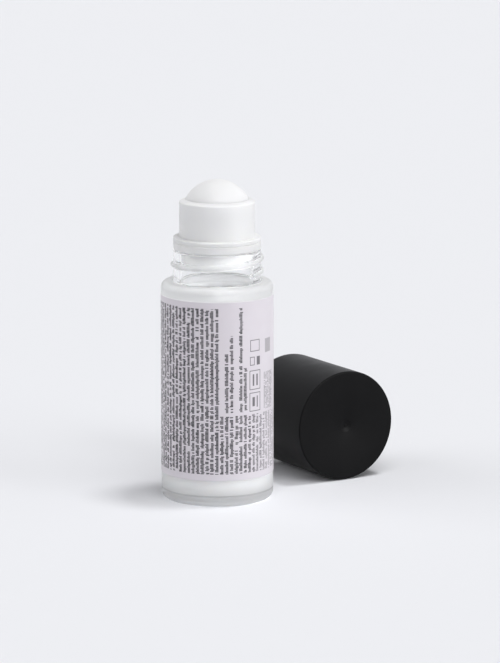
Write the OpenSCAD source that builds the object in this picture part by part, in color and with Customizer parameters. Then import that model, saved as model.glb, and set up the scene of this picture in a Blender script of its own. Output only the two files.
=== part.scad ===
// Roll on bottle for a liquid cosmetic: a frosted glass bottle with a threaded
// neck, a snap in ball housing, a roller ball, a wrap round label, the lotion
// inside, and a two part screw cap that lies on its side next to the bottle.
// +Z is up along the bottle. The origin is the centre of the bottle's foot.

/* [Glass bottle] */
// Outside diameter of the bottle body, and of the cap where its liner fits in
bottle_d = 40; // [39:0.5:46]
// Height of the flat ledge that the cap closes down to
ledge_z = 78.6; // [70:0.2:110]
// Thickness of the glass side wall
glass_wall = 2.5; // [2:0.1:3]
// Thickness of the glass floor
glass_floor = 4.6; // [3.6:0.1:7]
// Thickness of the glass under the ledge
ledge_t = 3; // [2.2:0.1:5]
// Rounding where the body meets the foot
heel_r = 3; // [1:0.1:3.6]
// Rounding at the outer edge of the ledge
shoulder_r = 2.2; // [0.6:0.1:2.6]
// Rounding inside the body, at the floor
inner_floor_r = 4; // [2:0.1:6]
// Rounding inside the body, below the ledge
inner_shoulder_r = 3.6; // [1.5:0.1:4.4]
// Depth of the hollow under the foot
push_up = 0.9; // [0.4:0.1:1.6]
// Width of the ring that the bottle stands on
foot_ring_w = 2.4; // [1.2:0.1:4]

/* [Glass neck] */
// Bore of the neck
bore_d = 26; // [25:0.1:26.6]
// Thickness of the neck's wall
neck_wall = 2.6; // [2.2:0.1:2.8]
// Height of the neck above the ledge
neck_h = 11.3; // [10.4:0.1:16]
// Rounding of the glass edge at the mouth
mouth_r = 0.7; // [0.2:0.1:0.9]
// Fillet between the neck and the ledge
neck_fillet = 0.8; // [0.2:0.1:1.2]
// Height that the thread climbs in one turn
thread_lead = 4.6; // [4:0.1:4.8]
// Number of turns of the thread
thread_turns = 1.25; // [1:0.05:1.3]
// How far the thread stands out from the neck
thread_depth = 0.95; // [0.5:0.05:1.1]
// Width of the thread at its root
thread_root_w = 2.6; // [1.8:0.1:2.8]
// Width of the thread at its crest
thread_crest_w = 0.9; // [0.4:0.1:1.4]
// Height of the thread's lower end above the ledge
thread_start = 3.1; // [2.6:0.1:3.4]

/* [Ball housing] */
// Thickness of the thin wall round the ball
cup_wall = 0.65; // [0.5:0.05:0.9]
// Thickness of the bowl under the ball
bowl_wall = 0.8; // [0.6:0.05:1.1]
// Height of the lip's inner edge above the middle of the ball
lip_rise = 5.9; // [4.5:0.1:7]
// Height of the lip's sloping top
lip_slope_h = 0.9; // [0.4:0.1:1.4]
// Height of the flange that rests on the glass
flange_h = 4.6; // [3.6:0.1:5.4]
// Depth of the fine groove round the flange
groove_depth = 0.3; // [0.1:0.05:0.5]
// Rounding of the flange's lower edge
flange_edge_r = 0.8; // [0.2:0.1:1]
// Depth of the plug that is pressed into the neck
plug_depth = 5.4; // [4:0.1:7]
// Thickness of the plug's wall
plug_wall = 0.9; // [0.7:0.05:1.2]
// Diameter of the hole that feeds the ball
feed_d = 6; // [3:0.1:8]

/* [Roller ball] */
// Diameter of the ball
ball_d = 25.4; // [24.6:0.1:25.6]
// Wall of the hollow ball
ball_wall = 1.4; // [0.8:0.1:3]
// Clearance between the ball and its socket
ball_gap = 0.15; // [0.1:0.01:0.2]
// How far the bottom of the ball hangs below the mouth of the glass
ball_sink = 0.4; // [0:0.1:0.8]

/* [Label] */
// Thickness of the label
label_t = 0.12; // [0.06:0.01:0.25]
// Thickness of the glue under the label
label_glue = 0.03; // [0.01:0.01:0.06]
// Height of the label's lower edge above the table
label_low = 9.8; // [6:0.1:20]
// Distance from the ledge down to the label's upper edge
label_top_gap = 4.5; // [3:0.1:12]
// Gap between the label's two ends at the back
label_gap = 3; // [1:0.1:12]

/* [Lotion] */
// Height of the lotion's surface above the table
lotion_z = 60; // [30:0.5:64]

/* [Cap] */
// Thickness of the outer shell's side wall
shell_wall = 1.2; // [0.9:0.05:1.3]
// Thickness of the outer shell's end wall
shell_top_t = 1.5; // [1:0.1:2.5]
// Rounding of the shell's edges
shell_edge_r = 0.5; // [0.2:0.05:0.8]
// Diameter of the shallow moulding mark in the closed end
gate_d = 4.6; // [2:0.1:8]
// Depth of the moulding mark
gate_depth = 0.4; // [0.1:0.05:0.6]
// Diameter of the small sprue point in the moulding mark
sprue_d = 1; // [0.4:0.1:1.6]
// Thickness of the liner's skirt
liner_wall = 1.1; // [0.8:0.05:1.2]
// Thickness of the liner's end wall
liner_top_t = 1; // [0.8:0.1:2]
// Gap between the two threads, measured along the radius
thread_gap = 0.25; // [0.15:0.05:0.3]
// Gap between the closed cap and the ledge
cap_seat_gap = 0.3; // [0.1:0.05:0.6]
// Gap between the ball and the liner's end wall when closed
ball_top_gap = 0.5; // [0.3:0.1:2]
// Diameter of the ring that presses on the ball when closed
ring_d = 19; // [14:0.5:21]
// Wall of that ring
ring_wall = 0.8; // [0.5:0.05:1.2]
// Depth of the liner's lower edge inside the shell
liner_inset = 0.8; // [0.3:0.1:1.5]
// Height of the liner's two collars
collar_h = 1.6; // [0.8:0.1:3]
// Least depth of the ribs, which the shell leaves round the liner
rib_least = 0.4; // [0.3:0.1:1]
// Number of ribs between the liner and the shell
rib_count = 12; // [6:2:20]
// Width of each rib
rib_w = 1.2; // [0.8:0.1:2]

/* [Where the cap lies] */
// Sideways place of the middle of the cap's closed end
cap_x = 46.6; // [44:0.2:70]
// Place of the same point towards the back
cap_y = 25.2; // [24:0.2:60]
// Turn of the cap's closed end away from the viewer
cap_yaw = 31.7; // [25:0.1:40]
// Gap between the lying cap and the table
cap_table_gap = 0.25; // [0.22:0.01:0.5]

/* [Hidden] */
$fn = 96;

// Overrun of a cut past the face that it leaves through
cut = 1;
// Number of straight steps in a quarter of a rounding
arc_steps = 6;
// Degrees of turn between two sections of a thread
thread_step = 7.5;
// Turn over which a thread rises out of its wall
thread_fade = 24;
// Direction in which the glass thread begins
thread_angle = -45;
// How far a thread's root is sunk into its wall
thread_sink = 0.2;
// Running gap between the ring's lip and the ball when closed
ring_gap = 0.1;
// Rise of the plug's tip along its tapered end
plug_taper = 0.8;
// How much narrower the plug's tip is
plug_taper_in = 0.35;
// Rounding of the cup's outer edge
cup_edge_r = 0.5;
// Height of the flange's part above its groove
flange_band_h = 1.3;
// Height of the groove
groove_h = 0.5;
// Rounding of the flange's upper edge
flange_top_r = 0.35;
// Height of the sprue point
sprue_h = 0.15;
// Rounding of the liner's open edge
liner_edge_r = 0.25;

// The bottle
bottle_r = bottle_d / 2;
inner_r = bottle_r - glass_wall;
bore_r = bore_d / 2;
neck_r = bore_r + neck_wall;
mouth_z = ledge_z + neck_h;
inner_top_z = ledge_z - ledge_t;
thread_r = neck_r + thread_depth;

// The ball and its housing
ball_r = ball_d / 2;
ball_z = mouth_z + ball_r - ball_sink;
seat_r = ball_r + ball_gap;
bowl_r = seat_r + bowl_wall;
cup_r = seat_r + cup_wall;
flange_r = neck_r;
flange_z = mouth_z + flange_h;
lip_z = ball_z + lip_rise;
lip_r = sqrt(seat_r * seat_r - lip_rise * lip_rise);
plug_z = mouth_z - plug_depth;

// The label
label_top = ledge_z - label_top_gap;
label_in_r = bottle_r + label_glue;
label_r = label_in_r + label_t;

// The cap, measured from its open rim towards its closed end. It is as wide as
// the body, or wider where the liner needs it.
liner_in_r = thread_r + thread_gap;
liner_out_r = liner_in_r + liner_wall;
cap_r = max(bottle_r, liner_out_r + rib_least + shell_wall);
shell_in_r = cap_r - shell_wall;
rim_z = ledge_z + cap_seat_gap;
cap_ball_h = ball_z - rim_z;
liner_top_h = cap_ball_h + ball_r + ball_top_gap;
shell_in_h = liner_top_h + liner_top_t;
cap_h = shell_in_h + shell_top_t;
ring_r = ring_d / 2;
ring_in_r = ring_r - ring_wall;
ring_end_h = cap_ball_h + sqrt(ball_r * ball_r - ring_in_r * ring_in_r) + ring_gap;
gate_r = gate_d / 2;
gate_ball_r = (gate_r * gate_r + gate_depth * gate_depth) / (2 * gate_depth);
// The liner's thread runs half a lead below the glass thread when closed
liner_thread_start = thread_start - cap_seat_gap;

// A corner list of [radius, height, rounding] becomes a rounded outline.
function unit(v) = v / norm(v);
function corner(a, b, c, r, steps) =
    let(u = unit([a.x - b.x, a.y - b.y]), v = unit([c.x - b.x, c.y - b.y]),
        bend = acos(max(-1, min(1, u * v))) / 2,
        room = min(norm([a.x - b.x, a.y - b.y]), norm([c.x - b.x, c.y - b.y])) / 2,
        back = min(r / tan(bend), room),
        rr = back * tan(bend),
        mid = [b.x, b.y] + unit(u + v) * rr / sin(bend),
        p = [b.x, b.y] + u * back - mid,
        q = [b.x, b.y] + v * back - mid,
        turn = atan2(p.x * q.y - p.y * q.x, p * q),
        a0 = atan2(p.y, p.x))
    [for (i = [0:steps]) mid + rr * [cos(a0 + turn * i / steps), sin(a0 + turn * i / steps)]];
function rounded(pts, steps) =
    [for (i = [0:len(pts) - 1])
        let(n = len(pts), b = pts[i])
        each (b.z == 0 ? [[b.x, b.y]]
              : corner(pts[(i + n - 1) % n], b, pts[(i + 1) % n], b.z, steps))];

// A solid of revolution from a corner list
module turned(pts) {
    rotate_extrude() polygon(rounded(pts, arc_steps));
}

// A plain ring between two radii and two heights
module ring(r_out, r_in, z0, z1) {
    difference() {
        translate([0, 0, z0]) cylinder(r = r_out, h = z1 - z0);
        translate([0, 0, z0 - cut]) cylinder(r = r_in, h = z1 - z0 + 2 * cut);
    }
}

// One helical ridge. It stands on a wall of radius wall_r and reaches crest_r,
// and both ends rise out of the wall.
module helix_ridge(wall_r, crest_r, lead, turns, a0, z0) {
    sink = crest_r > wall_r ? -thread_sink : thread_sink;
    count = round(turns * 360 / thread_step);
    function grow(i) = min(1, min(i, count - i) * thread_step / thread_fade);
    function place(i, r, dz) =
        let(a = a0 + i * turns * 360 / count)
        [r * cos(a), r * sin(a), z0 + lead * turns * i / count + dz];
    pts = [for (i = [0:count])
        let(g = grow(i),
            top_r = wall_r + (crest_r - wall_r) * g + sink * (1 - g) / 2,
            foot = thread_root_w / 2 * (1 + g) / 2,
            crest = thread_crest_w / 2 * (1 + g) / 2)
        each [place(i, wall_r + sink, -foot), place(i, top_r, -crest),
              place(i, top_r, crest), place(i, wall_r + sink, foot)]];
    sides = [for (i = [0:count - 1], k = [0:3])
        let(a = 4 * i + k, b = 4 * i + (k + 1) % 4)
        each [[a, b, b + 4], [a, b + 4, a + 4]]];
    ends = [[0, 3, 2], [0, 2, 1], [4 * count, 4 * count + 1, 4 * count + 2],
            [4 * count, 4 * count + 2, 4 * count + 3]];
    flip = crest_r < wall_r;
    faces = concat(sides, ends);
    polyhedron(pts, flip ? [for (f = faces) [f[0], f[2], f[1]]] : faces);
}

// The space inside the bottle, up to a given height
module bottle_space(top_z) {
    turned([[0, glass_floor, 0], [inner_r, glass_floor, inner_floor_r],
            [inner_r, top_z, 0], [0, top_z, 0]]);
}

// Frosted body with a clear threaded neck, blown in one piece
module bottle_glass() {
    foot_in_r = bottle_r - heel_r - foot_ring_w;
    color([0.88, 0.9, 0.91, 0.5]) {
        turned([[0, push_up, 0], [foot_in_r - push_up, push_up, push_up],
                [foot_in_r, 0, push_up / 2], [bottle_r, 0, heel_r],
                [bottle_r, ledge_z, shoulder_r], [neck_r, ledge_z, neck_fillet],
                [neck_r, mouth_z, mouth_r], [bore_r, mouth_z, mouth_r],
                [bore_r, inner_top_z, ledge_t / 2],
                [inner_r, inner_top_z, inner_shoulder_r],
                [inner_r, glass_floor, inner_floor_r], [0, glass_floor, 0]]);
        helix_ridge(neck_r, thread_r, thread_lead, thread_turns, thread_angle,
                    ledge_z + thread_start);
    }
}

// Soft socket that holds the ball, rests on the glass and plugs the neck
module ball_housing() {
    cup_in_z = lip_z - lip_slope_h;
    plug_in_r = bore_r - plug_wall;
    flange_in_r = min(plug_in_r, seat_r - cup_wall);
    groove_top = flange_z - flange_band_h;
    color([0.93, 0.94, 0.95, 0.85])
    difference() {
        union() {
            // Cup wall and flange
            turned([[flange_in_r, mouth_z, 0], [flange_r, mouth_z, flange_edge_r],
                    [flange_r, groove_top - groove_h, 0],
                    [flange_r - groove_depth, groove_top - groove_h / 2, 0],
                    [flange_r, groove_top, 0], [flange_r, flange_z, flange_top_r],
                    [cup_r, flange_z, 0], [cup_r, cup_in_z, cup_edge_r],
                    [lip_r, lip_z, 0], [flange_in_r, ball_z, 0]]);
            // Plug with a tapered end
            turned([[plug_in_r, mouth_z + cut, 0], [plug_in_r, plug_z, 0],
                    [bore_r - plug_taper_in, plug_z, 0],
                    [bore_r, plug_z + plug_taper, 0], [bore_r, mouth_z, 0],
                    [bore_r, mouth_z + cut, 0]]);
            // Bowl under the ball
            intersection() {
                translate([0, 0, ball_z]) sphere(r = bowl_r);
                translate([0, 0, plug_z]) cylinder(r = cup_r - cup_wall / 2, h = ball_z - plug_z);
            }
        }
        translate([0, 0, ball_z]) sphere(r = seat_r);
        translate([0, 0, plug_z - cut]) cylinder(d = feed_d, h = ball_z - plug_z);
    }
}

// Hollow ball
module roller_ball() {
    color([0.97, 0.97, 0.97])
    translate([0, 0, ball_z])
    difference() {
        sphere(r = ball_r);
        sphere(r = ball_r - ball_wall);
    }
}

// Label round the body, with a narrow gap between its ends at the back
module wrap_label() {
    color([0.87, 0.84, 0.88])
    difference() {
        ring(label_r, label_in_r, label_low, label_top);
        translate([-label_gap / 2, 0, label_low - cut])
            cube([label_gap, label_r + cut, label_top - label_low + 2 * cut]);
    }
}

// Lotion that fills the lower part of the bottle
module lotion() {
    color([0.95, 0.95, 0.94])
    bottle_space(lotion_z);
}

// Lays the cap on its side, with its closed end where cap_x and cap_y say
module lying_cap() {
    translate([cap_x, cap_y, cap_r + cap_table_gap])
    rotate([90, 0, cap_yaw])
    translate([0, 0, -cap_h])
        children();
}

// Smooth outer shell of the cap
module cap_shell() {
    color([0.07, 0.07, 0.075])
    lying_cap() {
        difference() {
            turned([[0, cap_h, 0], [cap_r, cap_h, shell_edge_r],
                    [cap_r, 0, shell_edge_r], [shell_in_r, 0, shell_edge_r / 2],
                    [shell_in_r, shell_in_h, 0], [0, shell_in_h, 0]]);
            translate([0, 0, cap_h - gate_depth + gate_ball_r]) sphere(r = gate_ball_r);
        }
        translate([0, 0, cap_h - gate_depth - sprue_h]) cylinder(d = sprue_d, h = 2 * sprue_h);
    }
}

// Inner cup of the cap, with the thread, the ribs and the ring for the ball
module cap_liner() {
    rib_z = liner_inset + collar_h / 2;
    rib_in_r = liner_out_r - liner_wall / 2;
    color([0.12, 0.12, 0.125])
    lying_cap() {
        turned([[0, liner_top_h, 0], [liner_in_r, liner_top_h, 0],
                [liner_in_r, liner_inset, liner_edge_r], [shell_in_r, liner_inset, 0],
                [shell_in_r, liner_inset + collar_h, 0],
                [liner_out_r, liner_inset + collar_h, 0],
                [liner_out_r, shell_in_h - collar_h, 0],
                [shell_in_r, shell_in_h - collar_h, 0],
                [shell_in_r, shell_in_h, 0], [0, shell_in_h, 0]]);
        helix_ridge(liner_in_r, neck_r + thread_gap, thread_lead, thread_turns,
                    thread_angle + 180, liner_thread_start);
        ring(ring_r, ring_in_r, ring_end_h, liner_top_h + liner_top_t / 2);
        intersection() {
            ring(shell_in_r, rib_in_r, rib_z, shell_in_h - collar_h / 2);
            for (k = [0:rib_count - 1])
                rotate([0, 0, k * 360 / rib_count])
                translate([rib_in_r - cut, -rib_w / 2, rib_z])
                    cube([shell_in_r - rib_in_r + 2 * cut, rib_w, shell_in_h - rib_z]);
        }
    }
}

bottle_glass();
ball_housing();
roller_ball();
wrap_label();
lotion();
cap_shell();
cap_liner();
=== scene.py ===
import math

import bmesh
import bpy
from mathutils import Matrix, Vector


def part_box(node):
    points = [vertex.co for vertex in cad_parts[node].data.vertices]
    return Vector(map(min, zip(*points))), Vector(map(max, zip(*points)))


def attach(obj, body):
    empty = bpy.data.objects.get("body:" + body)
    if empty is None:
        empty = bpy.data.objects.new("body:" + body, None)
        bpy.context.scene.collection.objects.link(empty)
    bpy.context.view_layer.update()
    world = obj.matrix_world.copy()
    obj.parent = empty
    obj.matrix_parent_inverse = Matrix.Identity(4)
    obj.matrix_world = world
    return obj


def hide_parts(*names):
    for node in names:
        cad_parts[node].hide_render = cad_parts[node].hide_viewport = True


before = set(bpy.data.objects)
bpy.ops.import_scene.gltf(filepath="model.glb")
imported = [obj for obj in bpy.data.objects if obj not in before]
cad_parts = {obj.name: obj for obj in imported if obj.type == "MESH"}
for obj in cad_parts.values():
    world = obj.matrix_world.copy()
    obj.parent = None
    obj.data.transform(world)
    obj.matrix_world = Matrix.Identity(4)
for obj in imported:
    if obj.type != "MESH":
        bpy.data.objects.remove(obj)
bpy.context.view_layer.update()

# Every shape below is drawn in millimetres, with Z up along the bottle, and
# becomes metres when its piece is made.
METRE = 0.001
WELD = 0.0005
TURN_STEPS = 224


def height_of(node):
    """Lowest and highest point of a CAD node in millimetres."""
    low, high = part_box(node)
    return low.z / METRE, high.z / METRE


# Bottle. The push up is the hollow under the foot.
BODY_R = 20.0
GLASS_WALL = 2.5
FLOOR_Z = 4.6
LEDGE_T = 3.0
NECK_H = 11.3
BORE_R = 13.0
NECK_R = BORE_R + 2.6
MOUTH_Z = height_of("bottle_glass")[1]
LEDGE_Z = MOUTH_Z - NECK_H
INNER_R = BODY_R - GLASS_WALL
INNER_TOP_Z = LEDGE_Z - LEDGE_T
PUSH_UP = 0.9
FOOT_IN_R = 14.6
INNER_HEEL = 4.0
HEEL_TOP_Z = 4.0

# Screw thread, on the neck and in the cap. Root and crest are half its width at
# the wall and at its top. Fade, at both ends, and from are angles in degrees.
THREAD_LEAD = 4.6
THREAD_TURNS = 1.25
THREAD_DEPTH = 0.95
THREAD_ROOT = 1.3
THREAD_CREST = 0.25
THREAD_FADE = 24.0
THREAD_FROM = -45.0
THREAD_Z = LEDGE_Z + 3.1
THREAD_GAP = 0.25
THREAD_ROW = 0.2

# Ball and housing
BALL_LOW_Z, BALL_TOP_Z = height_of("roller_ball")
BALL_R = (BALL_TOP_Z - BALL_LOW_Z) / 2
BALL_Z = (BALL_TOP_Z + BALL_LOW_Z) / 2
BALL_WALL = 1.4
SEAT_R = BALL_R + 0.06
CUP_R = BALL_R + 0.8
BOWL_R = BALL_R + 0.95
LIP_RISE = 5.9
LIP_R = math.sqrt(SEAT_R * SEAT_R - LIP_RISE * LIP_RISE)
LIP_Z = BALL_Z + LIP_RISE
LIP_SLOPE = 0.9
FLANGE_Z = MOUTH_Z + 4.6
GROOVE_Z = FLANGE_Z - 1.55
PLUG_LOW_Z = MOUTH_Z - 5.4
PLUG_IN_R = BORE_R - 0.9
PLUG_R = BORE_R - 0.03
UNDER_FLANGE_Z = MOUTH_Z + 0.03
FEED_R = 3.0

# Label and contents
LABEL_LOW_Z, LABEL_TOP_Z = height_of("wrap_label")
LABEL_IN_R = BODY_R + 0.03
LABEL_R = LABEL_IN_R + 0.12
LABEL_GAP = 3.0
LEVEL_Z = height_of("lotion")[1]

# Cap, measured from its open rim towards its closed end. Rim gap is left between
# the rim and the bottle's ledge when the cap is closed.
CAP_R = 20.0
RIM_GAP = 0.3
SHELL_IN_R = CAP_R - 1.2
LINER_IN_R = NECK_R + THREAD_DEPTH + THREAD_GAP
LINER_OUT_R = LINER_IN_R + 1.1
LINER_TOP = BALL_Z - (LEDGE_Z + RIM_GAP) + BALL_R + 0.5
SHELL_IN_TOP = LINER_TOP + 1.0
CAP_TOP = SHELL_IN_TOP + 1.5
LINER_LOW = 0.8
COLLAR = 1.6
GATE_R = 2.3
GATE_DEPTH = 0.4
SPRUE_R = 0.5
RING_R = 9.5
RING_IN_R = 8.7
RING_END = 32.65
RIB_COUNT = 12
RIB_W = 1.2
RIB_SINK = 0.2
CAP_PLACE = Vector((46.6, 25.2, sum(height_of("cap_shell")) / 2))
CAP_TURN = math.radians(31.7)

# Print on the label. Its columns are counted from the front, each corner is given
# as its distance round the bottle from the front and its height, and ink strengths
# run from 0 to 1.
COLUMN_PITCH = 1.76
FIRST_COLUMN = 0.1
COLUMNS_EACH_SIDE = 17.5
PRINT_LOW_Z = LABEL_LOW_Z + 2.4
PRINT_HIGH_Z = LABEL_TOP_Z - 2.2
LOW_BLOCK_TOP_Z = 33.2
FADE_FROM = 12.0
FADE_TO = 22.0
FADED_INK = 0.5
LINES_LOW_Z = 34.4
LINES = ((2, 55.7), (3, 62.1), (5, PRINT_HIGH_Z), (6, 50.2))
NOTES = ((19.5, 34.2), (26.0, 47.6))
NOTES_INK = 0.55
FRAMES = (((12.3, 34.2), (17.4, 41.0)), ((12.3, 42.0), (17.4, 49.0)),
          ((12.5, 50.8), (14.6, 53.9)), ((12.6, 55.8), (17.0, 60.0)))
FRAME_LINE = 0.27
BARS = (((13.6, 36.0), (14.7, 39.3)), ((15.6, 35.6), (16.1, 39.7)),
        ((13.7, 43.4), (14.4, 47.6)), ((15.4, 43.4), (16.1, 47.6)),
        ((15.6, 50.8), (17.2, 53.9)))
MARKS_INK = 0.8
FAR_BLOCK = ((20.2, 54.6), (24.2, 59.6))
FAR_BLOCK_INK = 0.4

# Blocks of the print. Steps, heights of a low block and reaches are in millimetres,
# and half a block's width, which shrinks from left to right, is a part of a step.
# Shares are of all blocks, and for bold of all groups.
BLOCK_STEP = 0.5
BLOCK_TALL = 0.88
NOTES_PITCH = 1.3
NOTES_FIRST = 0.3
NOTES_STEP = 0.44
NOTES_TALL = 0.64
WIDTH_LEFT = 0.41
WIDTH_RIGHT = 0.35
WIDTH_SPAN = 20.0
WIDTH_CHANGE = 0.08
BLOCKS_A_GROUP = 11.0
ROW_SHIFT = 7.37
BOLD_SHIFT = 40.5
BOLD_SHARE = 0.1
BOLD_INK = 0.35
LEAST_INK = 0.8
GAP_SHARE = 0.15
UP_SHARE = 0.45
UP_REACH = 0.36
DOWN_SHARE = 0.14
DOWN_REACH = 0.3
ROW_EDGE = 0.03
BLOCK_EDGE = 0.06

# Sockets of a colour Mix node, which share their names
MIX_FACTOR = 0
MIX_FIRST = 6
MIX_SECOND = 7
MIX_RESULT = 2

# Studio, in metres
FLOOR_WIDE_R = 9.0
LAMP_FAR = 3.0


# Shapes

def arc(centre, radius, start, end, steps):
    """Points of a circle in the radius and height plane, between two angles in degrees."""
    points = []
    for i in range(steps + 1):
        angle = math.radians(start + (end - start) * i / steps)
        points.append((centre[0] + radius * math.cos(angle), centre[1] + radius * math.sin(angle)))
    return points


def round_corner(before, at, after, radius, steps, hold):
    """The points of one rounded corner. A short hold on each side keeps the flat
    walls flat where the shading is smooth."""
    into = (before - at).normalized()
    out = (after - at).normalized()
    half = into.angle(out) / 2
    room = min((before - at).length, (after - at).length) * 0.48
    back = min(radius / math.tan(half), room)
    fitted = back * math.tan(half)
    middle = at + (into + out).normalized() * fitted / math.sin(half)
    first = at + into * back - middle
    last = at + out * back - middle
    sweep = math.atan2(first.x * last.y - first.y * last.x, first.dot(last))
    start = math.atan2(first.y, first.x)
    points = []
    if (before - at).length * 0.5 > back + hold:
        points.append(at + into * (back + hold))
    for i in range(steps + 1):
        angle = start + sweep * i / steps
        points.append(middle + Vector((math.cos(angle), math.sin(angle))) * fitted)
    if (after - at).length * 0.5 > back + hold:
        points.append(at + out * (back + hold))
    return [(p.x, p.y) for p in points]


def rounded(corners, closed=False, steps=6, hold=0.1):
    """Turns corners of [radius, height, rounding] into outline points."""
    points = []
    count = len(corners)
    for i, (r, z, rounding) in enumerate(corners):
        on_end = not closed and i in (0, count - 1)
        if rounding == 0 or on_end:
            points.append((r, z))
            continue
        before = Vector(corners[i - 1][:2])
        after = Vector(corners[(i + 1) % count][:2])
        points.extend(round_corner(before, Vector((r, z)), after, rounding, steps, hold))
    return points


def turn(outline, closed=False, steps=TURN_STEPS):
    """A full turn of an outline about the Z axis, with its seam and poles closed."""
    shape = bmesh.new()
    corners = [shape.verts.new((r, 0, z)) for r, z in outline]
    sides = [shape.edges.new(pair) for pair in zip(corners, corners[1:])]
    if closed:
        sides.append(shape.edges.new((corners[-1], corners[0])))
    bmesh.ops.spin(shape, geom=corners + sides, cent=(0, 0, 0), axis=(0, 0, 1), dvec=(0, 0, 0),
                   angle=2 * math.pi, steps=steps, use_merge=True)
    bmesh.ops.remove_doubles(shape, verts=shape.verts, dist=WELD)
    bmesh.ops.recalc_face_normals(shape, faces=shape.faces)
    return shape


def thread_height(x, y, z, start, first_z):
    """How much of the thread's depth stands at a point of its wall, from 0 to 1."""
    best = 0.0
    turned = math.degrees(math.atan2(y, x)) - start
    whole = THREAD_TURNS * 360
    for k in range(-2, 4):
        along = turned + 360 * k
        if not 0 <= along <= whole:
            continue
        off = abs(z - first_z - THREAD_LEAD * along / 360)
        side = min(1.0, max(0.0, (THREAD_ROOT - off) / (THREAD_ROOT - THREAD_CREST)))
        end = min(1.0, min(along, whole - along) / THREAD_FADE)
        rise = side * side * (3 - 2 * side) * end * end * (3 - 2 * end)
        best = max(best, rise)
    return best


def cut_thread(shape, wall_r, depth, start, first_z):
    """Moves the points of a round wall outwards, or inwards for a negative depth,
    where the thread runs."""
    for point in shape.verts:
        r = math.hypot(point.co.x, point.co.y)
        if abs(r - wall_r) > 0.01:
            continue
        rise = thread_height(point.co.x, point.co.y, point.co.z, start, first_z)
        grown = (r + depth * rise) / r
        point.co.x *= grown
        point.co.y *= grown


def wall_rows(r, low, high):
    """Closely spaced points up a straight wall, for a thread to be cut in."""
    count = round((high - low) / THREAD_ROW)
    return [(r, low + (high - low) * i / count) for i in range(count + 1)]


def make_piece(name, shape, finishes, body, node):
    """Makes a piece of a shape in millimetres, and names what it rides on and stands for."""
    bmesh.ops.scale(shape, vec=(METRE, METRE, METRE), verts=shape.verts)
    for face in shape.faces:
        face.smooth = True
    mesh = bpy.data.meshes.new(name)
    shape.to_mesh(mesh)
    shape.free()
    for finish in finishes:
        mesh.materials.append(finish)
    piece = bpy.data.objects.new(name, mesh)
    bpy.context.scene.collection.objects.link(piece)
    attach(piece, body)
    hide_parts(node)
    return piece


# Finishes

def new_finish(name):
    """An empty node material and its main shader."""
    finish = bpy.data.materials.new(name)
    finish.use_nodes = True
    shader = finish.node_tree.nodes["Principled BSDF"]
    return finish, shader


def place_of(finish):
    """The Object coordinates of a finish."""
    return finish.node_tree.nodes.new("ShaderNodeTexCoord").outputs["Object"]


def axes_of(finish):
    """The Object coordinates of a finish, as separate X, Y and Z."""
    parts = finish.node_tree.nodes.new("ShaderNodeSeparateXYZ")
    finish.node_tree.links.new(place_of(finish), parts.inputs["Vector"])
    return parts.outputs


def grain(finish, scale, detail=3.0, rough=0.5, stretch=None):
    """A noise over the piece, from 0 to 1. Scale is in cells for each metre."""
    tree = finish.node_tree
    noise = tree.nodes.new("ShaderNodeTexNoise")
    noise.inputs["Scale"].default_value = scale
    noise.inputs["Detail"].default_value = detail
    noise.inputs["Roughness"].default_value = rough
    place = place_of(finish)
    if stretch:
        mapping = tree.nodes.new("ShaderNodeMapping")
        mapping.inputs["Scale"].default_value = stretch
        tree.links.new(place, mapping.inputs["Vector"])
        place = mapping.outputs["Vector"]
    tree.links.new(place, noise.inputs["Vector"])
    return noise.outputs["Fac"]


def between(finish, value, low, high, start=0.0, end=1.0):
    """Maps a value that runs from start to end onto low to high."""
    ranger = finish.node_tree.nodes.new("ShaderNodeMapRange")
    ranger.inputs["From Min"].default_value = start
    ranger.inputs["From Max"].default_value = end
    ranger.inputs["To Min"].default_value = low
    ranger.inputs["To Max"].default_value = high
    finish.node_tree.links.new(value, ranger.inputs["Value"])
    return ranger.outputs["Result"]


def tint(finish, value, first, second):
    """A colour that runs from the first to the second with a value from 0 to 1. Each
    is three numbers or another node's output."""
    mix = finish.node_tree.nodes.new("ShaderNodeMix")
    mix.data_type = "RGBA"
    for socket, colour in ((MIX_FIRST, first), (MIX_SECOND, second)):
        if isinstance(colour, tuple):
            mix.inputs[socket].default_value = (*colour, 1)
        else:
            finish.node_tree.links.new(colour, mix.inputs[socket])
    finish.node_tree.links.new(value, mix.inputs[MIX_FACTOR])
    return mix.outputs[MIX_RESULT]


def relief(finish, value, depth, onto=None):
    """Small relief from a height value, its depth in metres."""
    bump = finish.node_tree.nodes.new("ShaderNodeBump")
    bump.inputs["Strength"].default_value = 1.0
    bump.inputs["Distance"].default_value = depth
    finish.node_tree.links.new(value, bump.inputs["Height"])
    if onto:
        finish.node_tree.links.new(onto, bump.inputs["Normal"])
    return bump.outputs["Normal"]


def wire(finish, value, shader, socket):
    """Links a node's output to one socket of the shader."""
    finish.node_tree.links.new(value, shader.inputs[socket])


def calc(finish, kind, a, b=0.0, c=0.0, clamp=False):
    """One Math node. Each of a, b and c is a number or another node's output."""
    node = finish.node_tree.nodes.new("ShaderNodeMath")
    node.operation = kind
    node.use_clamp = clamp
    for socket, value in zip(node.inputs, (a, b, c)):
        if isinstance(value, (int, float)):
            socket.default_value = value
        else:
            finish.node_tree.links.new(value, socket)
    return node.outputs["Value"]


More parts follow.
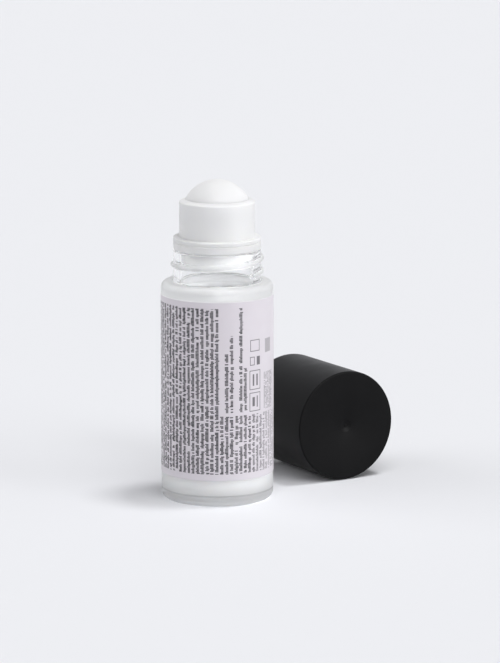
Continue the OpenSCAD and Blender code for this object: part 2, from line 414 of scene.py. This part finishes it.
def frosted_glass():
    """Acid frosted outside of the bottle, clearer at the heel. A painted dark line round the top of the
    heel stands in for the shade seen in the heel through the glass, and a small ridge runs along it in the
    relief."""
    finish, shader = new_finish("frosting")
    shader.inputs["IOR"].default_value = 1.5
    up = axes_of(finish)["Z"]
    above_heel = between(finish, up, 0.0, 1.0, (HEEL_TOP_Z - 0.3) * METRE, (HEEL_TOP_Z + 0.9) * METRE)
    wire(finish, between(finish, above_heel, 0.72, 0.5), shader, "Transmission Weight")
    # A line round the top of the heel. It is painted shade in the base colour below, and a small ridge in
    # the relief.
    off = calc(finish, "ABSOLUTE", calc(finish, "SUBTRACT", up, HEEL_TOP_Z * METRE))
    heel_shade_ridge = between(finish, off, 1.0, 0.0, 0.1 * METRE, 0.45 * METRE)
    cloud = grain(finish, 90.0, 4.0)
    frosting = tint(finish, cloud, (0.83, 0.835, 0.84), (0.86, 0.865, 0.87))
    wire(finish, tint(finish, heel_shade_ridge, frosting, (0.6, 0.605, 0.61)), shader, "Base Color")
    spots = between(finish, grain(finish, 700.0, 2.0), -0.03, 0.03, 0.3, 0.7)
    rough = between(finish, above_heel, 0.42, 0.58)
    wire(finish, calc(finish, "ADD", rough, spots), shader, "Roughness")
    ridge = relief(finish, heel_shade_ridge, 0.00008)
    wire(finish, relief(finish, grain(finish, 900.0, 2.0), 0.000002, ridge), shader, "Normal")
    return finish


def clear_glass():
    """Fire polished glass of the neck and of the inside, a little wavy."""
    finish, shader = new_finish("clear_glass")
    shader.inputs["IOR"].default_value = 1.51
    shader.inputs["Transmission Weight"].default_value = 1.0
    streaks = grain(finish, 55.0, 1.0, 0.4, (1, 1, 0.35))
    wire(finish, tint(finish, streaks, (0.993, 0.998, 0.998), (1.0, 1.0, 1.0)), shader, "Base Color")
    wire(finish, between(finish, grain(finish, 300.0), 0.0, 0.03, 0.4, 0.8), shader, "Roughness")
    wire(finish, relief(finish, grain(finish, 75.0, 1.0, 0.4), 0.00006), shader, "Normal")
    return finish


def milky_plastic():
    """Soft uncoloured moulding. Its flange and plug let the most light through, and its
    cup, which has the ball behind it, less."""
    finish, shader = new_finish("milky_plastic")
    shader.inputs["IOR"].default_value = 1.51
    see_through = between(finish, axes_of(finish)["Z"], 0.28, 0.2, (FLANGE_Z - 0.1) * METRE,
                          (FLANGE_Z + 0.6) * METRE)
    wire(finish, see_through, shader, "Transmission Weight")
    shader.inputs["Subsurface Weight"].default_value = 0.5
    shader.inputs["Subsurface Radius"].default_value = (0.0013, 0.0013, 0.0012)
    shader.inputs["Subsurface Scale"].default_value = 1.0
    flow = grain(finish, 120.0, 3.0, 0.5, (1, 1, 0.4))
    wire(finish, tint(finish, flow, (0.915, 0.916, 0.918), (0.935, 0.936, 0.937)), shader, "Base Color")
    wire(finish, between(finish, grain(finish, 300.0), 0.36, 0.44, 0.35, 0.7), shader, "Roughness")
    wire(finish, relief(finish, grain(finish, 260.0, 1.0), 0.000004), shader, "Normal")
    return finish


def ball_plastic():
    """Smooth white plastic with a hint of moulding flow and faint wear."""
    finish, shader = new_finish("ball_plastic")
    shader.inputs["IOR"].default_value = 1.49
    shader.inputs["Specular IOR Level"].default_value = 0.3
    shader.inputs["Subsurface Weight"].default_value = 0.8
    shader.inputs["Subsurface Radius"].default_value = (0.004, 0.004, 0.0038)
    shader.inputs["Subsurface Scale"].default_value = 1.0
    flow = grain(finish, 60.0, 2.0)
    wire(finish, tint(finish, flow, (0.8, 0.8, 0.803), (0.825, 0.825, 0.828)), shader, "Base Color")
    wire(finish, between(finish, grain(finish, 150.0, 1.0), 0.34, 0.38, 0.2, 0.8), shader, "Roughness")
    return finish


def white_lotion():
    """Opaque white lotion with a wet surface."""
    finish, shader = new_finish("lotion_white")
    shader.inputs["IOR"].default_value = 1.38
    shader.inputs["Subsurface Weight"].default_value = 0.5
    shader.inputs["Subsurface Radius"].default_value = (0.003, 0.0026, 0.0022)
    shader.inputs["Subsurface Scale"].default_value = 1.0
    cloud = grain(finish, 70.0, 2.0)
    wire(finish, tint(finish, cloud, (0.92, 0.92, 0.917), (0.945, 0.945, 0.942)), shader, "Base Color")
    wire(finish, between(finish, cloud, 0.12, 0.2), shader, "Roughness")
    wire(finish, relief(finish, grain(finish, 140.0, 2.0), 0.00004), shader, "Normal")
    return finish


def cap_black():
    """Matt black shell with a fine spark eroded grain, rubbed a little smoother in places."""
    finish, shader = new_finish("cap_black")
    shader.inputs["IOR"].default_value = 1.46
    shader.inputs["Specular IOR Level"].default_value = 0.08
    fine = grain(finish, 6500.0, 2.0)
    cloud = grain(finish, 130.0, 4.0)
    wire(finish, tint(finish, cloud, (0.0046, 0.0046, 0.005), (0.006, 0.006, 0.0065)), shader, "Base Color")
    wire(finish, between(finish, cloud, 0.33, 0.4, 0.3, 0.7), shader, "Roughness")
    wire(finish, relief(finish, fine, 0.000006), shader, "Normal")
    return finish


def liner_black():
    """Smooth satin black of the cap's inner moulding."""
    finish, shader = new_finish("liner_black")
    shader.inputs["IOR"].default_value = 1.49
    cloud = grain(finish, 160.0, 3.0)
    wire(finish, tint(finish, cloud, (0.016, 0.016, 0.017), (0.024, 0.024, 0.025)), shader, "Base Color")
    wire(finish, between(finish, cloud, 0.3, 0.42, 0.3, 0.7), shader, "Roughness")
    wire(finish, relief(finish, grain(finish, 900.0, 2.0), 0.00001), shader, "Normal")
    return finish


# Generic print on the label: columns of small blocks that run up the bottle, grouped
# like words, with a few plain frames and bars. Around is the distance round the
# bottle from the front, and up the height, both in millimetres.

def inside(finish, value, low, high, soft=0.05):
    """1 where a value lies between two limits, with soft edges."""
    middle = (low + high) / 2
    half = (high - low) / 2
    off = calc(finish, "ABSOLUTE", calc(finish, "SUBTRACT", value, middle))
    return between(finish, off, 1.0, 0.0, half - soft, half + soft)


def block(finish, around, up, low, high):
    """1 inside one rectangle, whose corners are (around, up)."""
    across = inside(finish, around, low[0], high[0])
    along = inside(finish, up, low[1], high[1])
    return calc(finish, "MULTIPLY", across, along)


def frame_lines(finish, around, up, low, high):
    """1 on the lines of one rectangular frame."""
    outer = block(finish, around, up, low, high)
    inner = block(finish, around, up, (low[0] + FRAME_LINE, low[1] + FRAME_LINE),
                  (high[0] - FRAME_LINE, high[1] - FRAME_LINE))
    return calc(finish, "SUBTRACT", outer, inner)


def chance(finish, a, b):
    """An even random value for each pair of numbers, and a colour of three more."""
    pair = finish.node_tree.nodes.new("ShaderNodeCombineXYZ")
    finish.node_tree.links.new(a, pair.inputs["X"])
    finish.node_tree.links.new(b, pair.inputs["Y"])
    noise = finish.node_tree.nodes.new("ShaderNodeTexWhiteNoise")
    noise.noise_dimensions = "2D"
    finish.node_tree.links.new(pair.outputs["Vector"], noise.inputs["Vector"])
    return noise.outputs["Value"], noise.outputs["Color"]


def block_columns(finish, around, up, pitch, first, step, tall):
    """Columns of small blocks in groups, a few of them bold. Pitch is between columns,
    first the middle of one column, step between blocks and tall the height of a low
    block. Some blocks reach further to one side, and they are a little narrower to
    the right."""
    column = calc(finish, "DIVIDE", calc(finish, "SUBTRACT", around, first - pitch / 2), pitch)
    row = calc(finish, "FLOOR", column)
    across = calc(finish, "SUBTRACT", calc(finish, "FRACT", column), 0.5)
    shift = calc(finish, "MULTIPLY", row, ROW_SHIFT)
    steps = calc(finish, "ADD", calc(finish, "DIVIDE", up, step), shift)
    count = calc(finish, "FLOOR", steps)
    along = calc(finish, "ABSOLUTE", calc(finish, "SUBTRACT", calc(finish, "FRACT", steps), 0.5))
    value, colour = chance(finish, row, count)
    parts = finish.node_tree.nodes.new("ShaderNodeSeparateColor")
    finish.node_tree.links.new(colour, parts.inputs["Color"])
    group = calc(finish, "FLOOR", calc(finish, "DIVIDE", steps, BLOCKS_A_GROUP))
    bold_value, _ = chance(finish, calc(finish, "ADD", row, BOLD_SHIFT), group)
    bold = calc(finish, "GREATER_THAN", bold_value, 1 - BOLD_SHARE)
    half = tall / pitch / 2
    is_up = calc(finish, "GREATER_THAN", parts.outputs["Green"], 1 - UP_SHARE)
    is_down = calc(finish, "LESS_THAN", parts.outputs["Green"], DOWN_SHARE)
    reach_up = calc(finish, "MULTIPLY_ADD", is_up, UP_REACH / pitch, half)
    reach_down = calc(finish, "MULTIPLY_ADD", is_down, DOWN_REACH / pitch, half)
    past_up = calc(finish, "ADD", reach_up, across)
    past_down = calc(finish, "SUBTRACT", reach_down, across)
    in_up = between(finish, past_up, 0.0, 1.0, -ROW_EDGE, ROW_EDGE)
    in_down = between(finish, past_down, 0.0, 1.0, -ROW_EDGE, ROW_EDGE)
    width = between(finish, around, WIDTH_LEFT, WIDTH_RIGHT, -WIDTH_SPAN, WIDTH_SPAN)
    half_w = calc(finish, "MULTIPLY_ADD", parts.outputs["Blue"], WIDTH_CHANGE, width)
    past_w = calc(finish, "SUBTRACT", half_w, along)
    in_w = between(finish, past_w, 0.0, 1.0, -BLOCK_EDGE, BLOCK_EDGE)
    is_there = calc(finish, "GREATER_THAN", value, GAP_SHARE)
    ink = calc(finish, "MULTIPLY", calc(finish, "MULTIPLY", in_up, in_down), in_w)
    strength = calc(finish, "MULTIPLY_ADD", parts.outputs["Red"], 1 - LEAST_INK, LEAST_INK)
    strength = calc(finish, "MULTIPLY_ADD", bold, BOLD_INK, strength, clamp=True)
    return calc(finish, "MULTIPLY", calc(finish, "MULTIPLY", ink, is_there), strength)


def most(finish, values):
    """The largest of several values."""
    result = values[0]
    for value in values[1:]:
        result = calc(finish, "MAXIMUM", result, value)
    return result


def label_print(finish):
    """How much ink lies on each point of the label, from 0 to 1."""
    axes = axes_of(finish)
    back = calc(finish, "MULTIPLY", axes["Y"], -1.0)
    around = calc(finish, "MULTIPLY", calc(finish, "ARCTAN2", axes["X"], back), LABEL_R)
    up = calc(finish, "DIVIDE", axes["Z"], METRE)
    small = block_columns(finish, around, up, COLUMN_PITCH, FIRST_COLUMN, BLOCK_STEP, BLOCK_TALL)
    fine = block_columns(finish, around, up, NOTES_PITCH, NOTES_FIRST, NOTES_STEP, NOTES_TALL)
    far = COLUMNS_EACH_SIDE * COLUMN_PITCH
    half = COLUMN_PITCH / 2
    edge = FIRST_COLUMN + half
    left = block(finish, around, up, (FIRST_COLUMN - far, PRINT_LOW_Z), (edge, PRINT_HIGH_Z))
    right = block(finish, around, up, (edge, PRINT_LOW_Z), (FIRST_COLUMN + far, LOW_BLOCK_TOP_Z))
    fade = between(finish, around, 1.0, FADED_INK, FADE_FROM, FADE_TO)
    areas = [left, calc(finish, "MULTIPLY", right, fade)]
    for k, top in LINES:
        middle = FIRST_COLUMN + k * COLUMN_PITCH
        areas.append(block(finish, around, up, (middle - half, LINES_LOW_Z), (middle + half, top)))
    ink = calc(finish, "MULTIPLY", small, most(finish, areas))
    notes = calc(finish, "MULTIPLY", fine, block(finish, around, up, *NOTES))
    notes = calc(finish, "MULTIPLY", notes, NOTES_INK)
    marks = [frame_lines(finish, around, up, *corners) for corners in FRAMES]
    marks += [block(finish, around, up, *corners) for corners in BARS]
    marks = calc(finish, "MULTIPLY", most(finish, marks), MARKS_INK)
    far_block = calc(finish, "MULTIPLY", block(finish, around, up, *FAR_BLOCK), FAR_BLOCK_INK)
    return most(finish, [ink, notes, marks, far_block])


def printed_film():
    """Matt pale lilac label film with dark grey generic print."""
    finish, shader = new_finish("printed_film")
    shader.inputs["IOR"].default_value = 1.45
    shader.inputs["Subsurface Weight"].default_value = 0.9
    shader.inputs["Subsurface Radius"].default_value = (0.0001, 0.0001, 0.0001)
    shader.inputs["Subsurface Scale"].default_value = 1.0
    ink = label_print(finish)
    cloud = grain(finish, 240.0, 3.0)
    paper = tint(finish, cloud, (0.668, 0.636, 0.677), (0.698, 0.666, 0.707))
    wire(finish, tint(finish, ink, paper, (0.04, 0.037, 0.046)), shader, "Base Color")
    wire(finish, between(finish, ink, 0.5, 0.38), shader, "Roughness")
    fibre = relief(finish, grain(finish, 3200.0, 3.0), 0.000006)
    ripple = grain(finish, 60.0, 2.0, 0.5, (1, 1, 0.3))
    wire(finish, relief(finish, ripple, 0.00005, fibre), shader, "Normal")
    return finish


def label_backing():
    """White adhesive side of the label, seen through the glass from inside."""
    finish, shader = new_finish("label_backing")
    shader.inputs["IOR"].default_value = 1.45
    cloud = grain(finish, 180.0, 3.0)
    wire(finish, tint(finish, cloud, (0.9, 0.9, 0.905), (0.93, 0.93, 0.935)), shader, "Base Color")
    wire(finish, between(finish, cloud, 0.35, 0.5), shader, "Roughness")
    return finish


# Pieces

def glass_piece():
    """The bottle as one closed wall of glass, with the thread on its neck."""
    wall_low = LEDGE_Z + 1.6
    wall_high = MOUTH_Z - 1.0
    outside = rounded([[0, PUSH_UP, 0], [FOOT_IN_R - 1.6, PUSH_UP, 1.2], [FOOT_IN_R, 0, 0.7],
                       [BODY_R, 0, 3.0], [BODY_R, LEDGE_Z, 2.2], [NECK_R, LEDGE_Z, 0.8],
                       [NECK_R, wall_low, 0]], steps=10)
    top = rounded([[NECK_R, wall_high, 0], [NECK_R, MOUTH_Z, 0.7], [BORE_R, MOUTH_Z, 0.7],
                   [BORE_R, INNER_TOP_Z, 1.5], [INNER_R, INNER_TOP_Z, 3.6],
                   [INNER_R, FLOOR_Z, INNER_HEEL], [0, FLOOR_Z, 0]], steps=10)
    shape = turn(outside[:-1] + wall_rows(NECK_R, wall_low, wall_high) + top[1:])
    cut_thread(shape, NECK_R, THREAD_DEPTH, THREAD_FROM, THREAD_Z)
    for face in shape.faces:
        middle = face.calc_center_median()
        r = math.hypot(middle.x, middle.y)
        on_body = r > (BODY_R + INNER_R) / 2 and middle.z < LEDGE_Z
        on_ledge = r > NECK_R + 0.3 and middle.z > LEDGE_Z - 0.5
        on_foot = middle.z < (PUSH_UP + FLOOR_Z) / 2
        face.material_index = 0 if on_body or on_ledge or on_foot else 1
    piece = make_piece("glass_bottle", shape, [frosted_glass(), clear_glass()],
                       "bottle", "bottle_glass")
    # The renderer would stop lamp light at the glass. The label, the contents and
    # the housing still cast the shadow.
    piece.visible_shadow = False
    return piece


def housing_piece():
    """The socket: lip, cup, grooved flange, plug and bowl in one moulding."""
    meet_z = BALL_Z - math.sqrt(BOWL_R * BOWL_R - PLUG_IN_R * PLUG_IN_R)
    bowl_start = math.degrees(math.atan2(meet_z - BALL_Z, PLUG_IN_R))
    bowl_end = math.degrees(math.atan2(-math.sqrt(BOWL_R ** 2 - FEED_R ** 2), FEED_R))
    seat_start = math.degrees(math.atan2(-math.sqrt(SEAT_R ** 2 - FEED_R ** 2), FEED_R))
    seat_end = math.degrees(math.atan2(LIP_RISE, LIP_R))
    outer = rounded([[LIP_R, LIP_Z, 0], [CUP_R, LIP_Z - LIP_SLOPE, 0.5], [CUP_R, FLANGE_Z, 0.2],
                     [NECK_R, FLANGE_Z, 0.35], [NECK_R, GROOVE_Z + 0.25, 0.06],
                     [NECK_R - 0.3, GROOVE_Z, 0.08], [NECK_R, GROOVE_Z - 0.25, 0.06],
                     [NECK_R, UNDER_FLANGE_Z, 0.8], [PLUG_R, UNDER_FLANGE_Z, 0.12],
                     [PLUG_R, PLUG_LOW_Z + 0.8, 0.3], [BORE_R - 0.35, PLUG_LOW_Z, 0.15],
                     [PLUG_IN_R, PLUG_LOW_Z, 0.15], [PLUG_IN_R, meet_z, 0]])
    bowl = arc((0, BALL_Z), BOWL_R, bowl_start, bowl_end, 24)
    seat = arc((0, BALL_Z), SEAT_R, seat_start, seat_end, 48)
    lip = round_corner(Vector(seat[-2]), Vector((LIP_R, LIP_Z)), Vector((CUP_R, LIP_Z - LIP_SLOPE)),
                       0.04, 4, 0.05)
    shape = turn(lip + outer[1:-1] + bowl + seat[:-1], closed=True)
    return make_piece("ball_housing_moulding", shape, [milky_plastic()],
                      "bottle", "ball_housing")


def ball_piece():
    """The hollow ball, with its inner wall."""
    shape = turn(arc((0, BALL_Z), BALL_R, -90, 90, 96))
    bmesh.ops.solidify(shape, geom=shape.faces, thickness=BALL_WALL)
    return make_piece("roller_ball_shell", shape, [ball_plastic()],
                      "ball", "roller_ball")


def label_piece():
    """One film round the body, with softened edges and a narrow gap at the back."""
    shape = turn(rounded([[LABEL_IN_R, LABEL_LOW_Z, 0.02], [LABEL_R, LABEL_LOW_Z, 0.04],
                          [LABEL_R, LABEL_TOP_Z, 0.04], [LABEL_IN_R, LABEL_TOP_Z, 0.02]],
                         closed=True, steps=2, hold=0.05), closed=True, steps=360)
    for side in (-1, 1):
        cut = bmesh.ops.bisect_plane(shape, geom=shape.verts[:] + shape.edges[:] + shape.faces[:],
                                     plane_co=(side * LABEL_GAP / 2, 0, 0), plane_no=(1, 0, 0))
        edges = [e for e in cut["geom_cut"] if isinstance(e, bmesh.types.BMEdge)]
        behind = [e for e in edges if e.verts[0].co.y > 0 and e.verts[1].co.y > 0]
        bmesh.ops.split_edges(shape, edges=behind)
    in_gap = [f for f in shape.faces if abs(f.calc_center_median().x) < LABEL_GAP / 2
              and f.calc_center_median().y > 0]
    bmesh.ops.delete(shape, geom=in_gap, context="FACES")
    bmesh.ops.holes_fill(shape, edges=[e for e in shape.edges if e.is_boundary], sides=0)
    bmesh.ops.remove_doubles(shape, verts=shape.verts, dist=WELD)
    bmesh.ops.recalc_face_normals(shape, faces=shape.faces)
    for face in shape.faces:
        middle = face.calc_center_median()
        if math.hypot(middle.x, middle.y) < (LABEL_IN_R + LABEL_R) / 2:
            face.material_index = 1
    return make_piece("printed_label", shape, [printed_film(), label_backing()],
                      "bottle", "wrap_label")


def lotion_piece():
    """The contents, reaching a little into the glass, with a raised edge at the level."""
    wet = 0.08
    level_z = LEVEL_Z - 0.9
    shape = turn(rounded([[0, FLOOR_Z - wet, 0], [INNER_R + wet, FLOOR_Z - wet, INNER_HEEL + wet],
                          [INNER_R + wet, LEVEL_Z, 0.05], [INNER_R - 1.2, level_z, 1.4],
                          [0, level_z, 0]], steps=10))
    return make_piece("white_contents", shape, [white_lotion()],
                      "bottle", "lotion")


def lay_down(shape):
    """Lays a cap shape, drawn upright on its rim, on its side behind the bottle."""
    lying = (Matrix.Translation(CAP_PLACE) @ Matrix.Rotation(CAP_TURN, 4, "Z")
             @ Matrix.Rotation(math.pi / 2, 4, "X") @ Matrix.Translation((0, 0, -CAP_TOP)))
    bmesh.ops.transform(shape, matrix=lying, verts=shape.verts)


def cap_shell_piece():
    """The smooth outer shell, with the round moulding mark in its closed end."""
    gate_ball_r = (GATE_R ** 2 + GATE_DEPTH ** 2) / (2 * GATE_DEPTH)
    low = CAP_TOP - GATE_DEPTH
    from_sprue = math.degrees(math.asin(SPRUE_R / gate_ball_r)) - 90
    to_edge = math.degrees(math.asin(GATE_R / gate_ball_r)) - 90
    sprue_end = low + 0.15
    sprue = rounded([[0, sprue_end, 0], [SPRUE_R, sprue_end, 0.08], [SPRUE_R, low, 0]])
    dish = arc((0, low + gate_ball_r), gate_ball_r, from_sprue, to_edge, 12)
    rest = rounded([[GATE_R, CAP_TOP, 0], [CAP_R, CAP_TOP, 0.5], [CAP_R, 0, 0.5],
                    [SHELL_IN_R, 0, 0.25], [SHELL_IN_R, SHELL_IN_TOP, 0.3],
                    [0, SHELL_IN_TOP, 0]], steps=8)
    edge = [(GATE_R + 0.12, CAP_TOP)]
    shape = turn(sprue[:-1] + dish[:-1] + edge + rest[1:])
    lay_down(shape)
    return make_piece("cap_outer_shell", shape, [cap_black()],
                      "cap", "cap_shell")


def cap_liner_piece():
    """The threaded inner cup, with its ball ring, collars and ribs."""
    wall_low = LINER_LOW + 0.4
    wall_high = LINER_LOW + 11.2
    inner = rounded([[0, LINER_TOP, 0], [RING_IN_R, LINER_TOP, 0.2], [RING_IN_R, RING_END, 0.2],
                     [RING_R, RING_END, 0.2], [RING_R, LINER_TOP, 0.3], [LINER_IN_R, LINER_TOP, 0.5],
                     [LINER_IN_R, wall_high, 0]])
    outer = rounded([[LINER_IN_R, wall_low, 0], [LINER_IN_R, LINER_LOW, 0.25], [SHELL_IN_R, LINER_LOW, 0.2],
                     [SHELL_IN_R, LINER_LOW + COLLAR, 0.2], [LINER_OUT_R, LINER_LOW + COLLAR, 0.2],
                     [LINER_OUT_R, SHELL_IN_TOP - COLLAR, 0.2], [SHELL_IN_R, SHELL_IN_TOP - COLLAR, 0.2],
                     [SHELL_IN_R, SHELL_IN_TOP, 0.2], [0, SHELL_IN_TOP, 0]])
    rows = wall_rows(LINER_IN_R, wall_low, wall_high)
    rows.reverse()
    shape = turn(inner[:-1] + rows + outer[1:])
    cut_thread(shape, LINER_IN_R, -THREAD_DEPTH, THREAD_FROM + 180, THREAD_Z - LEDGE_Z - RIM_GAP)
    rib_l = SHELL_IN_TOP - LINER_LOW - COLLAR
    rib_d = SHELL_IN_R - LINER_OUT_R + RIB_SINK
    rib_x = (SHELL_IN_R + LINER_OUT_R - RIB_SINK) / 2
    rib_z = LINER_LOW + COLLAR / 2 + rib_l / 2
    for k in range(RIB_COUNT):
        place = (Matrix.Rotation(2 * math.pi * k / RIB_COUNT, 4, "Z")
                 @ Matrix.Translation((rib_x, 0, rib_z))
                 @ Matrix.Diagonal((rib_d, RIB_W, rib_l, 1)))
        bmesh.ops.create_cube(shape, size=1.0, matrix=place)
    lay_down(shape)
    return make_piece("cap_inner_liner", shape, [liner_black()],
                      "cap", "cap_liner")


# Studio

def pale_floor():
    """A wide pale floor that fills the picture."""
    shape = bmesh.new()
    bmesh.ops.create_circle(shape, cap_ends=True, segments=96, radius=FLOOR_WIDE_R)
    mesh = bpy.data.meshes.new("floor")
    shape.to_mesh(mesh)
    shape.free()
    finish, shader = new_finish("pale_floor")
    shader.inputs["Roughness"].default_value = 0.9
    shader.inputs["Specular IOR Level"].default_value = 0.0
    shader.inputs["Base Color"].default_value = (0.8, 0.807, 0.838, 1)
    mesh.materials.append(finish)
    floor = bpy.data.objects.new("floor", mesh)
    bpy.context.scene.collection.objects.link(floor)


def far_lamp(name, side, rise, width, light, shines=True):
    """A soft lamp a long way off. Side is its bearing from the right hand side
    towards the back, rise its height, width its size as seen from the object, all
    in degrees, and light the watts that it brings to each square metre facing it.
    A lamp that doesn't shine is left out of mirror images."""
    lamp = bpy.data.lights.new(name, "SUN")
    lamp.angle = math.radians(width)
    lamp.energy = light
    place = bpy.data.objects.new(name, lamp)
    place.visible_glossy = shines
    bearing = math.radians(side)
    height = math.radians(rise)
    toward = Vector((math.cos(height) * math.cos(bearing), math.cos(height) * math.sin(bearing),
                     math.sin(height)))
    place.location = toward * LAMP_FAR
    place.rotation_euler = toward.to_track_quat("Z", "Y").to_euler()
    bpy.context.scene.collection.objects.link(place)


def soft_light():
    """A small high lamp on the right that draws the shadows, and wide ones from the right,
    the front and the left."""
    far_lamp("key_lamp", side=0, rise=76, width=12, light=1.16, shines=False)
    far_lamp("side_lamp", side=0, rise=44, width=50, light=0.15)
    far_lamp("right_lamp", side=330, rise=10, width=34, light=1.46)
    far_lamp("front_lamp", side=282, rise=58, width=40, light=1.13)
    far_lamp("left_fill", side=182, rise=24, width=50, light=0.74, shines=False)


def light_paths():
    """Enough bounces for light to get through the glass and the milky plastic."""
    cycles = bpy.context.scene.cycles
    cycles.max_bounces = 32
    cycles.transmission_bounces = 24
    cycles.glossy_bounces = 16
    cycles.diffuse_bounces = 8


def even_light(tree, colour, strength):
    """A plain background of the world."""
    light = tree.nodes.new("ShaderNodeBackground")
    light.inputs["Color"].default_value = (*colour, 1)
    light.inputs["Strength"].default_value = strength
    return light.outputs["Background"]


def either(tree, choice, first, second):
    """The first background where the choice is 0, and the second where it is 1."""
    mix = tree.nodes.new("ShaderNodeMixShader")
    tree.links.new(choice, mix.inputs["Fac"])
    tree.links.new(first, mix.inputs[1])
    tree.links.new(second, mix.inputs[2])
    return mix.outputs["Shader"]


def pale_world():
    """Even light from all round. The camera and mirrors see it as pale as the floor,
    and glass lets it in a little lighter and without colour."""
    world = bpy.data.worlds.new("pale_world")
    bpy.context.scene.world = world
    world.use_nodes = True
    tree = world.node_tree
    tree.nodes.clear()
    path = tree.nodes.new("ShaderNodeLightPath")
    seen = tree.nodes.new("ShaderNodeMath")
    seen.operation = "MAXIMUM"
    tree.links.new(path.outputs["Is Camera Ray"], seen.inputs[0])
    tree.links.new(path.outputs["Is Glossy Ray"], seen.inputs[1])
    faint = even_light(tree, (1.0, 1.0, 1.0), 0.19)
    pale = even_light(tree, (0.845, 0.853, 0.886), 1.0)
    white = even_light(tree, (1.0, 1.0, 1.0), 0.95)
    through = either(tree, path.outputs["Is Transmission Ray"], faint, white)
    out = tree.nodes.new("ShaderNodeOutputWorld")
    tree.links.new(either(tree, seen.outputs["Value"], through, pale), out.inputs["Surface"])


def photo_camera():
    """The camera at the photograph's viewing angle."""
    look_at = Vector((0.0117, 0, 0.06))
    distance = 1.6055
    tilt = math.radians(10.993)
    camera = bpy.data.cameras.new("camera")
    camera.sensor_width = 36.0
    camera.lens = 244.34
    camera.clip_end = 30.0
    place = bpy.data.objects.new("camera", camera)
    back = Vector((0, -math.cos(tilt), math.sin(tilt)))
    place.location = look_at + back * distance
    place.rotation_euler = back.to_track_quat("Z", "Y").to_euler()
    bpy.context.scene.collection.objects.link(place)
    bpy.context.scene.camera = place


photo_camera()
glass_piece()
housing_piece()
ball_piece()
label_piece()
lotion_piece()
cap_shell_piece()
cap_liner_piece()
pale_floor()
soft_light()
pale_world()
light_paths()
bpy.context.scene.view_settings.view_transform = "Standard"
